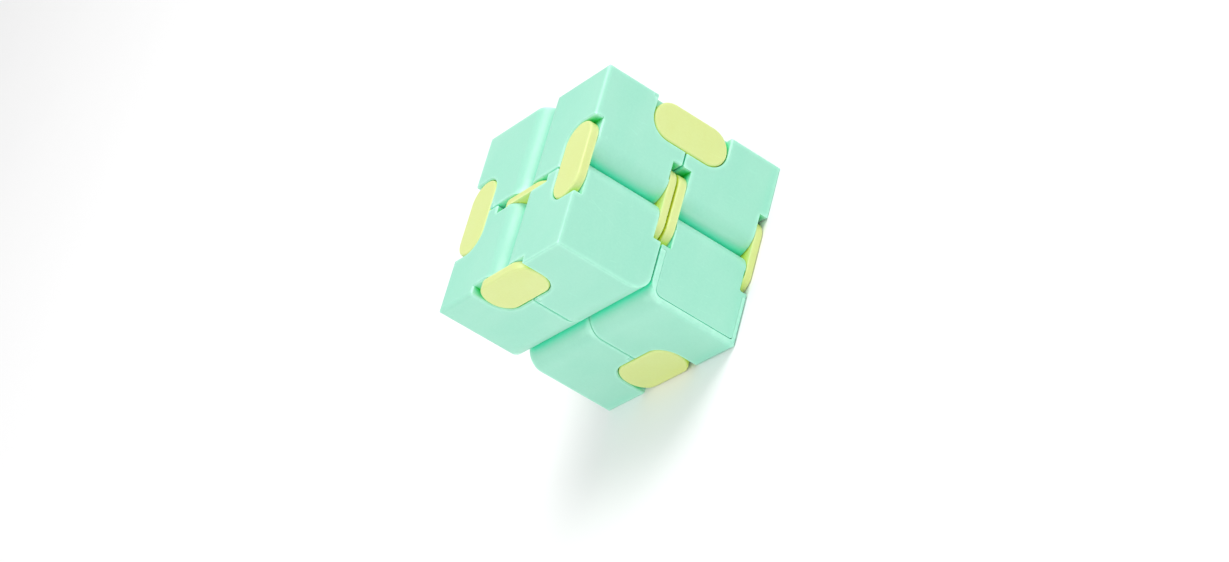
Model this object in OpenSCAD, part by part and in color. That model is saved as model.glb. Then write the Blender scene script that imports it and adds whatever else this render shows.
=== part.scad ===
// Folding infinity cube.
// Eight hollow blocks are joined in a closed loop by eight double-pivot hinges.
// Each hinge has two oval link plates, one at each end of the edge that folds.
// The cube stands on the plane z = 0, with its centre on the Z axis.
//
// Every block is drawn once, in its own octant, with coordinates measured from
// the cube's centre. "Inner" faces look at a neighbouring block, and "outer"
// faces are the outside of the closed cube.

/* [Cube] */
// Width, depth and height of the closed cube
cube_w = 40; // [39:0.5:44]
// Gap between neighbouring blocks
gap = 0.3; // [0.2:0.05:0.4]

/* [Block shell] */
// Radius of the edges that roll on a neighbour, which is also the inset of the pivots
roll_r = 4.15; // [4:0.05:4.3]
// Radius of the outside edges of the closed cube
edge_r = 0.9; // [0.5:0.1:1]
// Radius of the other edges, which lie against a neighbour
seam_r = 0.25; // [0.1:0.05:0.4]
// Wall thickness
wall = 1.7; // [1.5:0.1:1.8]
// Wall thickness beside and behind a notch
notch_wall = 1.3; // [1:0.1:1.4]
// Width of the chamfer around the mouth of a notch
notch_chamfer = 0.25; // [0.1:0.05:0.3]
// Outer radius of the boss that holds a pin
boss_r = 2.6; // [2.3:0.1:2.7]
// Length of the boss that holds a pin
boss_len = 3.4; // [3:0.1:4]

/* [Cover] */
// Thickness of a cover
cover_t = 1.2; // [1:0.1:1.4]
// Width of the shell's rim around a cover
cover_rim = 1.1; // [0.9:0.1:1.3]
// Radius of a cover's corner next to the middle of the cube
cover_inner_r = 1.4; // [1:0.1:2]
// Radius of a cover's corner next to the outside of the cube
cover_outer_r = 0.5; // [0.3:0.1:1]
// Clearance around a cover and its lip
cover_fit = 0.06; // [0.04:0.01:0.1]
// Parting gap at the side of a cover that is away from its rolling edge
cover_gap = 0.16; // [0.06:0.02:0.2]
// Height of the locating lip under a cover
lip_h = 1.6; // [1:0.1:2]
// Thickness of the locating lip
lip_t = 1; // [0.8:0.1:1.2]

/* [Link plate] */
// Thickness of a link plate
plate_t = 1.7; // [1.5:0.1:1.8]
// Distance of a plate's outline from the faces around it
plate_inset = 0.1; // [0.05:0.05:0.15]
// Radius of the edge around a plate's face
plate_edge_r = 0.45; // [0.2:0.05:0.6]
// Gap between a plate's outline and the wall of its notch
notch_gap = 0.15; // [0.1:0.05:0.2]
// Distance of a plate's face below the block's face
plate_sink = 0.05; // [0:0.01:0.08]
// Gap between a plate and the bottom of its notch
plate_play = 0.1; // [0.05:0.01:0.15]
// Radius of a pin
pin_r = 1.2; // [1:0.1:1.4]
// Radial clearance of a pin in its boss
pin_fit = 0.05; // [0.02:0.01:0.08]
// Height of the snap head at the end of a pin
head_h = 0.9; // [0.7:0.1:1.1]
// Overhang of the snap head past the pin
head_lip = 0.2; // [0.15:0.05:0.3]
// Width of the slit that lets a pin's end spring
slit_w = 0.5; // [0.4:0.1:0.6]

/* [Hidden] */
$fn = 64;
mint = "#a8ecd4";
pale_mint = "#b2f0da";
lime = "#dee89c";
over = 1;

half = cube_w / 2;
face_in = gap / 2;
pivot_in = face_in + roll_r;
pivot_out = half - roll_r;
plate_r = roll_r - plate_inset;
notch_r = plate_r + notch_gap;
notch_in = pivot_in + notch_r;
notch_out = pivot_out - notch_r;
notch_t = plate_sink + plate_t + plate_play;
pin_len = plate_play + boss_len + plate_play;
slit_len = 2.6;

cover_floor = half - cover_t;
ear_w = 1;
ear_end = notch_in + ear_w;
ledge = 0.2;
open_start = notch_in + notch_wall + ledge;
open_depth = 2 * wall;

// Each block is [side, depth, level], with 1 for right, rear or upper.
BLOCKS = [for (level = [1, -1], depth = [-1, 1], side = [-1, 1]) [side, depth, level]];
// Each hinge is [name, axis, octant], where the axis is 0 for Z, 1 for X and 2 for Y.
HINGES = [
    ["front_upper", 0, [1, -1, 1]],
    ["front_lower", 0, [1, -1, -1]],
    ["rear_upper", 0, [1, 1, 1]],
    ["rear_lower", 0, [1, 1, -1]],
    ["top_left", 1, [-1, 1, 1]],
    ["bottom_left", 1, [-1, 1, -1]],
    ["right_front", 2, [1, -1, 1]],
    ["right_rear", 2, [1, 1, 1]]
];

function block_name(b) =
    str(b.z > 0 ? "upper" : "lower", b.y > 0 ? "_rear" : "_front", b.x > 0 ? "_right" : "_left");
function shell_node(b) = str(block_name(b), "_shell");
function cover_node(b) = str(block_name(b), "_cover");
function outer_link_node(hinge) = str(hinge[0], "_outer_link");
function inner_link_node(hinge) = str(hinge[0], "_inner_link");

// ---- Placing ----

// Turns the Z axis to Z, X or Y, keeping the cyclic order of the axes.
module turned(axis) {
    rotate([[0, 0, 0], [90, 0, 90], [-90, -90, 0]][axis]) children();
}

// Mirrors the first octant about the cube's centre to the octant asked for.
module in_octant(octant) {
    translate([0, 0, half])
        mirror([octant.x < 0 ? 1 : 0, 0, 0])
            mirror([0, octant.y < 0 ? 1 : 0, 0])
                mirror([0, 0, octant.z < 0 ? 1 : 0])
                    children();
}

// Swaps a block's two hinged edges, which moves its cover to an inner face.
module turned_over() {
    middle = half + face_in;
    translate([middle, middle, middle]) rotate([0, 90, 180]) children();
}

// The loop alternates between blocks with the cover outside and mirror images
// of them that are turned over, with the cover inside.
module block_place(b) {
    in_octant(b)
        turned(b.x > 0 ? 2 : 0)
            if (b.x * b.y * b.z < 0) children();
            else turned_over() children();
}

// ---- Profiles ----

// What a rounded corner at the origin leaves out of a square one.
module corner_cut(r) {
    difference() {
        translate([-over, -over]) square(r + over);
        translate([r, r]) circle(r);
    }
}

// What a chamfered corner at the origin leaves out of a square one.
module chamfer_cut(w) {
    polygon([[-over, -over], [w + over, -over], [-over, w + over]]);
}

// A block's section, with the rolling edge where x is inner and y is outer.
module block_profile(inset) {
    low = face_in + inset;
    high = half - inset;
    difference() {
        translate([low, low]) square(high - low);
        translate([low, high]) rotate(-90) corner_cut(roll_r - inset);
        if (inset == 0) {
            translate([low, low]) corner_cut(seam_r);
            translate([high, low]) rotate(90) corner_cut(seam_r);
            translate([high, high]) rotate(180) corner_cut(edge_r);
        }
    }
}

module block_prism(inset) {
    translate([0, 0, face_in + inset - over])
        linear_extrude(half - face_in - 2 * inset + 2 * over) block_profile(inset);
}

// The block's outline, shrunk by inset, with a rolling edge along each axis. Only
// the outline itself has its other edges rounded.
module rounded_block(inset) {
    intersection() {
        turned(0) block_prism(inset);
        turned(1) block_prism(inset);
        turned(2) block_prism(inset);
    }
}

// The notch that half of a link plate lies in, open towards both faces.
module notch_profile() {
    difference() {
        translate([-over, notch_out]) square([notch_in + over, half + over - notch_out]);
        translate([notch_in, notch_out]) rotate(90) corner_cut(notch_r);
    }
}

// A cover's outline, with x along the rolling edge and y away from it.
module cover_outline(fit, parting) {
    low = face_in + cover_rim + fit;
    high = half - cover_rim - fit;
    far = half - cover_rim - parting;
    tongue_low = face_in + notch_t + fit;
    tongue_high = half - notch_t - fit;
    difference() {
        translate([low, ear_end - over]) square([high - low, far - ear_end + over]);
        translate([low, far]) rotate(-90) corner_cut(cover_inner_r);
        translate([high, far]) rotate(180) corner_cut(cover_outer_r);
    }
    translate([tongue_low, 0]) square([tongue_high - tongue_low, ear_end]);
    translate([0, notch_in]) square([half, ear_end - fit - notch_in]);
}

// ---- Hinge features of a block, for a hinge along Z ----

module hinge_notches() {
    outer_notch();
    translate([0, 0, half + face_in]) mirror([0, 0, 1]) outer_notch();
}

module outer_notch() {
    translate([0, 0, half - notch_t]) linear_extrude(notch_t + over) notch_profile();
    notch_rim();
    notch_side_rim();
}

// The chamfer between a notch and the face that its plate lies in.
module notch_rim() {
    translate([0, notch_out, half]) rotate([90, 0, 90])
        linear_extrude(pivot_in) rotate(180) chamfer_cut(notch_chamfer);
    translate([pivot_in, pivot_out, half]) rotate([0, 0, -90]) rotate_extrude(angle = 90)
        translate([notch_r, 0]) mirror([0, 1]) chamfer_cut(notch_chamfer);
    translate([notch_in, half + over, half]) rotate([90, 0, 0])
        linear_extrude(half + over - pivot_out) mirror([0, 1]) chamfer_cut(notch_chamfer);
}

// The chamfers between a notch and the face that it is open to at the side.
module notch_side_rim() {
    translate([pivot_in, half, half - notch_t]) rotate([90, 0, 90])
        linear_extrude(notch_r) rotate(180) chamfer_cut(notch_chamfer);
    translate([notch_in, half, half - notch_t])
        linear_extrude(notch_t + over) mirror([0, 1]) chamfer_cut(notch_chamfer);
}

module hinge_bores() {
    bore_len = notch_t + boss_len + head_h;
    for (base = [face_in, half - bore_len])
        translate([pivot_in, pivot_out, base]) cylinder(r = pin_r + pin_fit, h = bore_len);
}

// The walls around both notches, and the bosses behind them.
module hinge_housings() {
    depth = notch_t + notch_wall;
    width = notch_in + notch_wall;
    for (base = [face_in, half - depth])
        translate([0, half - width, base]) cube([width, width, depth]);
    for (base = [face_in + notch_t, half - notch_t - boss_len])
        translate([pivot_in, pivot_out, base]) cylinder(r = boss_r, h = boss_len);
}

// ---- Parts ----

// A block's hollow shell, with hinged edges along Z and X.
module shell() {
    difference() {
        union() {
            difference() {
                rounded_block(0);
                rounded_block(wall);
            }
            intersection() {
                rounded_block(0);
                union() {
                    turned(0) hinge_housings();
                    turned(1) hinge_housings();
                }
            }
        }
        turned(0) hinge_notches();
        turned(1) hinge_notches();
        turned(0) hinge_bores();
        turned(1) hinge_bores();
        cover_recess();
    }
}

// The step that the cover lies in, and the opening under it.
module cover_recess() {
    opening_low = face_in + wall;
    opening_w = half - wall - opening_low;
    turned(2) {
        translate([0, 0, cover_floor]) linear_extrude(cover_t + over) cover_outline(0, 0);
        translate([opening_low, open_start, half - open_depth])
            cube([opening_w, half - wall - open_start, open_depth]);
    }
}

// A cover with its locating lip, on the outer face beside the hinge along Z.
module cover() {
    lip_low = face_in + wall + cover_fit;
    lip_w = half - wall - cover_fit - lip_low;
    lip_d = half - wall - cover_fit - open_start - cover_fit;
    difference() {
        intersection() {
            rounded_block(0);
            turned(2) translate([0, 0, cover_floor]) linear_extrude(cover_t + over)
                cover_outline(cover_fit, cover_gap);
        }
        turned(0) hinge_notches();
    }
    turned(2) translate([lip_low, open_start + cover_fit, cover_floor - lip_h])
        difference() {
            cube([lip_w, lip_d, lip_h]);
            translate([lip_t, lip_t, -over])
                cube([lip_w - 2 * lip_t, lip_d - 2 * lip_t, lip_h + over]);
        }
}

// A pin with a slit snap head, pointing down from the origin.
module snap_pin() {
    difference() {
        union() {
            translate([0, 0, -pin_len]) cylinder(r = pin_r, h = pin_len);
            translate([0, 0, -pin_len - head_h])
                cylinder(r1 = pin_r - head_lip, r2 = pin_r + head_lip, h = head_h);
        }
        translate([-pin_r - over, -slit_w / 2, -pin_len - head_h - over])
            cube([2 * (pin_r + over), slit_w, slit_len + over]);
    }
}

// Half of a plate's section, with its rounded outer edge.
module plate_profile() {
    difference() {
        translate([0, -plate_t]) square([plate_r, plate_t]);
        translate([plate_r, 0]) rotate(180) corner_cut(plate_edge_r);
    }
}

// A link plate with its long side along X and its outer face up, at the origin.
module link_plate() {
    for (side = [-1, 1])
        translate([side * pivot_in, 0, 0]) rotate([0, 0, -90 * side])
            rotate_extrude(angle = 180) plate_profile();
    translate([-pivot_in, 0, 0]) rotate([90, 0, 90]) linear_extrude(2 * pivot_in) {
        plate_profile();
        mirror([1, 0]) plate_profile();
    }
    for (side = [-1, 1]) translate([side * pivot_in, 0, -plate_t]) snap_pin();
}

module block_shell(b) {
    color(mint) block_place(b) shell();
}

module block_cover(b) {
    color(pale_mint) block_place(b) cover();
}

// The link plate in the outside face of the cube.
module outer_link(hinge) {
    color(lime) in_octant(hinge[2]) turned(hinge[1])
        translate([0, pivot_out, half - plate_sink]) link_plate();
}

// The link plate at the other end of the hinge, against the middle of the cube.
module inner_link(hinge) {
    color(lime) in_octant(hinge[2]) turned(hinge[1])
        translate([0, pivot_out, face_in + plate_sink]) mirror([0, 0, 1]) link_plate();
}

for (b = BLOCKS) {
    block_shell(b);
    block_cover(b);
}
for (hinge = HINGES) {
    outer_link(hinge);
    inner_link(hinge);
}
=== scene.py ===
import math

import bpy
from mathutils import Matrix, Vector

MM = 0.001
FLOOR_HALF = 4.0

# The camera: where it looks, from which side, and how it is rolled. The cube stands
# upright here, so the camera rolls instead of the cube. Angles are in degrees, the
# lens and sensor in millimetres, and everything else in metres.
CAM_AIM = Vector((-0.0060, 0.0019, 0.0158))
CAM_AZIMUTH = -34.12
CAM_ELEVATION = 23.28
CAM_ROLL = 59.35
CAM_DISTANCE = 0.588
CAM_LENS = 93.0
CAM_SENSOR = 36.0
CAM_NEAR = 0.01
CAM_FAR = 20.0

# Light: a white sky, and square softboxes that face the cube's middle. Each softbox has
# its place and size in metres, and its power in watts.
SKY_STRENGTH = 0.68
SKY_COLOUR = (1.0, 1.0, 1.0, 1.0)
CUBE_MIDDLE = Vector((0.0, 0.0, 0.020))
SOFTBOXES = {
    "key_right": ((0.464, -0.225, 0.758), 0.50, 4.70),
    "fill_left": ((-0.855, 0.000, 0.290), 0.60, 1.10),
    "fill_rear_left": ((-0.540, 0.540, 0.500), 0.50, 0.80),
    "edge_front": ((-0.370, -0.470, 0.340), 0.25, 0.60),
}

# Plastics, as linear colours: flat faces; a paler tone for a painted highlight along convex edges (in
# patches, like edge wear), and for specks and scratches; painted shade in the gaps between pieces; and
# painted shade in notches, tinted green as if by light bounced off the lime links
MINT = (0.314, 0.688, 0.530, 1.0)
MINT_PALE = (0.46, 0.90, 0.71, 1.0)
MINT_GAP_SHADE = (0.08, 0.88, 0.60, 1.0)
MINT_NOTCH_SHADE = (0.01, 0.60, 0.04, 1.0)
LIME = (0.635, 0.713, 0.260, 1.0)
LIME_PALE = (0.77, 0.92, 0.40, 1.0)
LIME_GAP_SHADE = (0.82, 0.93, 0.04, 1.0)
MINT_COLOURS = (MINT, MINT_PALE, MINT_GAP_SHADE, MINT_NOTCH_SHADE)
LIME_COLOURS = (LIME, LIME_PALE, LIME_GAP_SHADE, LIME_GAP_SHADE)
FLOOR_WHITE = (0.95, 0.95, 0.95, 1.0)
FLOOR_SHADE = (0.93, 0.93, 0.93, 1.0)

# Sizes of the detail in the plastic
FLOW_SIZE = 14 * MM
SPECK_SIZE = 0.5 * MM
# Patches in the painted highlight along convex edges, like edge wear
EDGE_PATCH_SIZE = 1.2 * MM
SMUDGE_SIZE = 6 * MM
SINK_SIZE = 9 * MM
GRAIN_SIZE = 0.22 * MM
MOTTLE_SIZE = 60 * MM

# Depths of the relief in the plastic
SINK_DEPTH = 0.10 * MM
GRAIN_DEPTH = 0.012 * MM
SCRATCH_DEPTH = 0.005 * MM

# Two families of hairline scratches: spacing, width and direction
SCRATCHES = (
    (5.0 * MM, 0.035 * MM, (0.6, 0.3, 0.2)),
    (7.0 * MM, 0.045 * MM, (-0.9, 1.1, 0.5)),
)
SCRATCH_RUN = 2.5 * MM
SCRATCH_STRETCH = (1.0, 1.0, 0.08)

# How much each kind of detail changes the colour or the roughness, from 0 to 1
DEEP_SHARE = 0.06
PALE_SHARE = 0.15
SPECK_SHARE = 0.10
SCRATCH_SHARE = 0.22
RUBBED_SMOOTHER = 0.08
SCRATCH_ROUGHER = 0.15
ROUGHNESS = (0.33, 0.47)

# Gaps, where painted shade goes: how far they are looked for, and how much of the view they close off
GAP_REACH = 5 * MM
GAP_OPENNESS = (0.68, 0.12)
NOTCH_OPENNESS = (0.90, 0.50)
EDGE_OPENNESS = (0.95, 0.45)
REST_FACE_FADE = (0.4 * MM, 1.6 * MM)
OCCLUSION_SAMPLES = 8

# Ranges for map_range
UNIT = (0.0, 1.0)
UNIT_DOWN = (1.0, 0.0)
NOISE_MIDDLE = (0.30, 0.70)


# ---- Node helpers ----

def new_material(name):
    material = bpy.data.materials.new(name)
    material.use_nodes = True
    tree = material.node_tree
    tree.nodes.clear()
    shader = tree.nodes.new("ShaderNodeBsdfPrincipled")
    output = tree.nodes.new("ShaderNodeOutputMaterial")
    tree.links.new(shader.outputs["BSDF"], output.inputs["Surface"])
    return material, tree, shader


def object_coordinates(tree):
    return tree.nodes.new("ShaderNodeTexCoord").outputs["Object"]


def mapped_coordinates(tree, stretch, turn=(0.0, 0.0, 0.0)):
    mapping = tree.nodes.new("ShaderNodeMapping")
    mapping.inputs["Scale"].default_value = stretch
    mapping.inputs["Rotation"].default_value = turn
    tree.links.new(object_coordinates(tree), mapping.inputs["Vector"])
    return mapping.outputs["Vector"]


def noise(tree, size, detail=2.0, roughness=0.5, stretch=(1.0, 1.0, 1.0)):
    """A noise whose features are about size metres across."""
    texture = tree.nodes.new("ShaderNodeTexNoise")
    texture.inputs["Scale"].default_value = 1.0 / size
    texture.inputs["Detail"].default_value = detail
    texture.inputs["Roughness"].default_value = roughness
    tree.links.new(mapped_coordinates(tree, stretch), texture.inputs["Vector"])
    return texture.outputs["Fac"]


def map_range(tree, value, old, new, interpolation="LINEAR"):
    node = tree.nodes.new("ShaderNodeMapRange")
    node.interpolation_type = interpolation
    node.inputs["From Min"].default_value = old[0]
    node.inputs["From Max"].default_value = old[1]
    node.inputs["To Min"].default_value = new[0]
    node.inputs["To Max"].default_value = new[1]
    tree.links.new(value, node.inputs["Value"])
    return node.outputs["Result"]


def math_node(tree, operation, a, b):
    node = tree.nodes.new("ShaderNodeMath")
    node.operation = operation
    for socket, value in zip(node.inputs, (a, b)):
        if isinstance(value, (int, float)):
            socket.default_value = value
        else:
            tree.links.new(value, socket)
    return node.outputs["Value"]


def mix_colour(tree, factor, a, b):
    node = tree.nodes.new("ShaderNodeMix")
    node.data_type = "RGBA"
    tree.links.new(factor, node.inputs["Factor"])
    for socket, value in ((node.inputs["A"], a), (node.inputs["B"], b)):
        if isinstance(value, tuple):
            socket.default_value = value
        else:
            tree.links.new(value, socket)
    return node.outputs["Result"]


def blend_of(a, b, share):
    return tuple(x + (y - x) * share for x, y in zip(a, b))


def bump(tree, height, distance, strength, under=None):
    node = tree.nodes.new("ShaderNodeBump")
    node.inputs["Strength"].default_value = strength
    node.inputs["Distance"].default_value = distance
    tree.links.new(height, node.inputs["Height"])
    if under is not None:
        tree.links.new(under, node.inputs["Normal"])
    return node.outputs["Normal"]


def hairlines(tree, spacing, width, turn):
    """1 along thin long lines about spacing metres apart, broken into short runs."""
    texture = tree.nodes.new("ShaderNodeTexVoronoi")
    texture.feature = "DISTANCE_TO_EDGE"
    texture.inputs["Scale"].default_value = 1.0 / spacing
    tree.links.new(mapped_coordinates(tree, SCRATCH_STRETCH, turn), texture.inputs["Vector"])
    line = map_range(tree, texture.outputs["Distance"], (0.0, width / spacing), UNIT_DOWN)
    run = map_range(tree, noise(tree, SCRATCH_RUN), (0.52, 0.60), UNIT)
    return math_node(tree, "MULTIPLY", line, run)


def openness(tree, reach, inside=False, only_local=False):
    """1 out in the open, towards 0 where surfaces close in within reach.

    With inside, it looks into the piece instead of out of it.
    """
    node = tree.nodes.new("ShaderNodeAmbientOcclusion")
    node.samples = OCCLUSION_SAMPLES
    node.inside = inside
    node.only_local = only_local
    node.inputs["Distance"].default_value = reach
    return node.outputs["AO"]


def corner_mask(tree, reach):
    """1 where the surface turns away on both sides, as on a convex edge, and 0 on flat faces."""
    return map_range(tree, openness(tree, reach, inside=True, only_local=True), EDGE_OPENNESS, UNIT)


def painted_shade_masks(tree):
    """Two masks: 1 in the gaps between pieces, and 1 where such a gap is in a piece's own notch.

    Both are 0 out in the open and along the rest face. They mark where painted shade goes.
    """
    gap = map_range(tree, openness(tree, GAP_REACH), GAP_OPENNESS, UNIT, "SMOOTHSTEP")
    notch = map_range(tree, openness(tree, GAP_REACH, only_local=True), NOTCH_OPENNESS, UNIT)
    place = tree.nodes.new("ShaderNodeSeparateXYZ")
    tree.links.new(object_coordinates(tree), place.inputs["Vector"])
    above = map_range(tree, place.outputs["Z"], REST_FACE_FADE, UNIT)
    gap = math_node(tree, "MULTIPLY", gap, above)
    return gap, math_node(tree, "MULTIPLY", gap, notch)


# ---- Materials ----

def moulded_plastic(name, colours, edge_reach, edge_highlight_share):
    """Satin ABS: flow marks, painted shade in the gaps, a painted highlight in patches along convex
    edges, hairline scratches, smudges and grain.
    """
    material, tree, shader = new_material(name)
    # Convex edges: they get a painted highlight in the colour and a smoother finish in the roughness
    convex_edge = corner_mask(tree, edge_reach)
    first, second = (hairlines(tree, *family) for family in SCRATCHES)
    scratch = math_node(tree, "MAXIMUM", first, second)
    plastic_colour(tree, shader, colours, convex_edge, scratch, edge_highlight_share)
    plastic_gloss(tree, shader, convex_edge, scratch)
    plastic_relief(tree, shader, scratch)
    shader.inputs["IOR"].default_value = 1.53
    shader.inputs["Specular IOR Level"].default_value = 0.5
    shader.inputs["Subsurface Weight"].default_value = 0.12
    shader.inputs["Subsurface Radius"].default_value = (0.8, 1.0, 0.8)
    shader.inputs["Subsurface Scale"].default_value = 0.8 * MM
    return material


def plastic_colour(tree, shader, colours, convex_edge, scratch, edge_highlight_share):
    base, pale, deep, notch_shade_colour = colours
    flow = noise(tree, FLOW_SIZE, detail=3.0, stretch=(1.0, 1.0, 2.5))
    cloud = map_range(tree, flow, NOISE_MIDDLE, UNIT)
    colour = mix_colour(tree, cloud, blend_of(base, deep, DEEP_SHARE), blend_of(base, pale, PALE_SHARE))
    speck = map_range(tree, noise(tree, SPECK_SIZE), (0.35, 0.75), (0.0, SPECK_SHARE))
    colour = mix_colour(tree, speck, colour, pale)
    # Painted shade: the gaps between pieces get a deeper, greener colour, and the gaps in a piece's own
    # notch a deep green that also stands for green light bounced off the lime links.
    gap, notch_shade = painted_shade_masks(tree)
    colour = mix_colour(tree, gap, colour, deep)
    colour = mix_colour(tree, notch_shade, colour, notch_shade_colour)
    # Painted highlight on convex edges: a paler colour, broken into patches like edge wear.
    edge_patches = noise(tree, EDGE_PATCH_SIZE, detail=4.0)
    share = map_range(tree, edge_patches, (0.35, 0.65), (0.6 * edge_highlight_share, edge_highlight_share))
    colour = mix_colour(tree, math_node(tree, "MULTIPLY", convex_edge, share), colour, pale)
    colour = mix_colour(tree, math_node(tree, "MULTIPLY", scratch, SCRATCH_SHARE), colour, pale)
    tree.links.new(colour, shader.inputs["Base Color"])


def plastic_gloss(tree, shader, convex_edge, scratch):
    smudge = noise(tree, SMUDGE_SIZE, detail=5.0, roughness=0.6)
    roughness = map_range(tree, smudge, NOISE_MIDDLE, ROUGHNESS)
    smoother = math_node(tree, "MULTIPLY", convex_edge, RUBBED_SMOOTHER)
    rougher = math_node(tree, "MULTIPLY", scratch, SCRATCH_ROUGHER)
    roughness = math_node(tree, "SUBTRACT", roughness, smoother)
    roughness = math_node(tree, "ADD", roughness, rougher)
    tree.links.new(roughness, shader.inputs["Roughness"])


def plastic_relief(tree, shader, scratch):
    sink = noise(tree, SINK_SIZE, detail=1.0)
    grain = noise(tree, GRAIN_SIZE, detail=3.0, roughness=0.6)
    unscratched = math_node(tree, "SUBTRACT", 1.0, scratch)
    normal = bump(tree, sink, SINK_DEPTH, 0.25)
    normal = bump(tree, grain, GRAIN_DEPTH, 0.5, under=normal)
    normal = bump(tree, unscratched, SCRATCH_DEPTH, 0.4, under=normal)
    tree.links.new(normal, shader.inputs["Normal"])


def studio_floor():
    material, tree, shader = new_material("studio_floor")
    mottle = noise(tree, MOTTLE_SIZE, detail=3.0)
    tree.links.new(mix_colour(tree, mottle, FLOOR_SHADE, FLOOR_WHITE), shader.inputs["Base Color"])
    shader.inputs["Roughness"].default_value = 0.85
    shader.inputs["Specular IOR Level"].default_value = 0.1
    return material


def dress(obj, material):
    obj.data.materials.clear()
    obj.data.materials.append(material)


# ---- Pieces ----

def dress_nodes():
    shells = moulded_plastic("mint_shell", MINT_COLOURS, edge_reach=1.0 * MM, edge_highlight_share=1.0)
    covers = moulded_plastic("mint_cover", MINT_COLOURS, edge_reach=0.4 * MM, edge_highlight_share=0.3)
    links = moulded_plastic("lime_link", LIME_COLOURS, edge_reach=0.6 * MM, edge_highlight_share=0.8)
    for name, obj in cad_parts.items():
        if name.endswith("_shell"):
            dress(obj, shells)
        elif name.endswith("_cover"):
            dress(obj, covers)
        else:
            dress(obj, links)


# ---- Studio ----

def add_floor():
    mesh = bpy.data.meshes.new("studio_floor")
    corners = [(-1, -1), (1, -1), (1, 1), (-1, 1)]
    mesh.from_pydata([(x * FLOOR_HALF, y * FLOOR_HALF, 0.0) for x, y in corners], [], [(0, 1, 2, 3)])
    floor = bpy.data.objects.new("studio_floor", mesh)
    bpy.context.scene.collection.objects.link(floor)
    dress(floor, studio_floor())


def add_sky():
    world = bpy.data.worlds.new("studio_sky")
    world.use_nodes = True
    background = world.node_tree.nodes["Background"]
    background.inputs["Color"].default_value = SKY_COLOUR
    background.inputs["Strength"].default_value = SKY_STRENGTH
    bpy.context.scene.world = world


def add_softboxes():
    for name, (place, size, power) in SOFTBOXES.items():
        light = bpy.data.lights.new(name, "AREA")
        light.shape = "SQUARE"
        light.size = size
        light.energy = power
        lamp = bpy.data.objects.new(name, light)
        lamp.location = place
        lamp.rotation_euler = (CUBE_MIDDLE - Vector(place)).to_track_quat("-Z", "Y").to_euler()
        lamp.visible_camera = False
        bpy.context.scene.collection.objects.link(lamp)


def add_camera():
    azimuth = math.radians(CAM_AZIMUTH)
    elevation = math.radians(CAM_ELEVATION)
    back = Vector((
        math.sin(azimuth) * math.cos(elevation),
        -math.cos(azimuth) * math.cos(elevation),
        math.sin(elevation),
    ))
    level = (-back).to_track_quat("-Z", "Y").to_matrix()
    rolled = level @ Matrix.Rotation(-math.radians(CAM_ROLL), 3, "Z")
    data = bpy.data.cameras.new("camera")
    data.lens = CAM_LENS
    data.sensor_width = CAM_SENSOR
    data.clip_start = CAM_NEAR
    data.clip_end = CAM_FAR
    camera = bpy.data.objects.new("camera", data)
    camera.matrix_world = Matrix.Translation(CAM_AIM + back * CAM_DISTANCE) @ rolled.to_4x4()
    bpy.context.scene.collection.objects.link(camera)
    bpy.context.scene.camera = camera


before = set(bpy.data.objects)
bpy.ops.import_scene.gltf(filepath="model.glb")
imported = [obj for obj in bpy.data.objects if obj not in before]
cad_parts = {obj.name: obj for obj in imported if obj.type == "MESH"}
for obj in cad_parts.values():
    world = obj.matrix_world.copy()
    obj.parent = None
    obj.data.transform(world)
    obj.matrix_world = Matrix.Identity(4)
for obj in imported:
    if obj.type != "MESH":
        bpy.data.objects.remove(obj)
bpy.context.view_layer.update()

bpy.context.scene.view_settings.view_transform = "Standard"
add_camera()
add_floor()
add_sky()
add_softboxes()
dress_nodes()
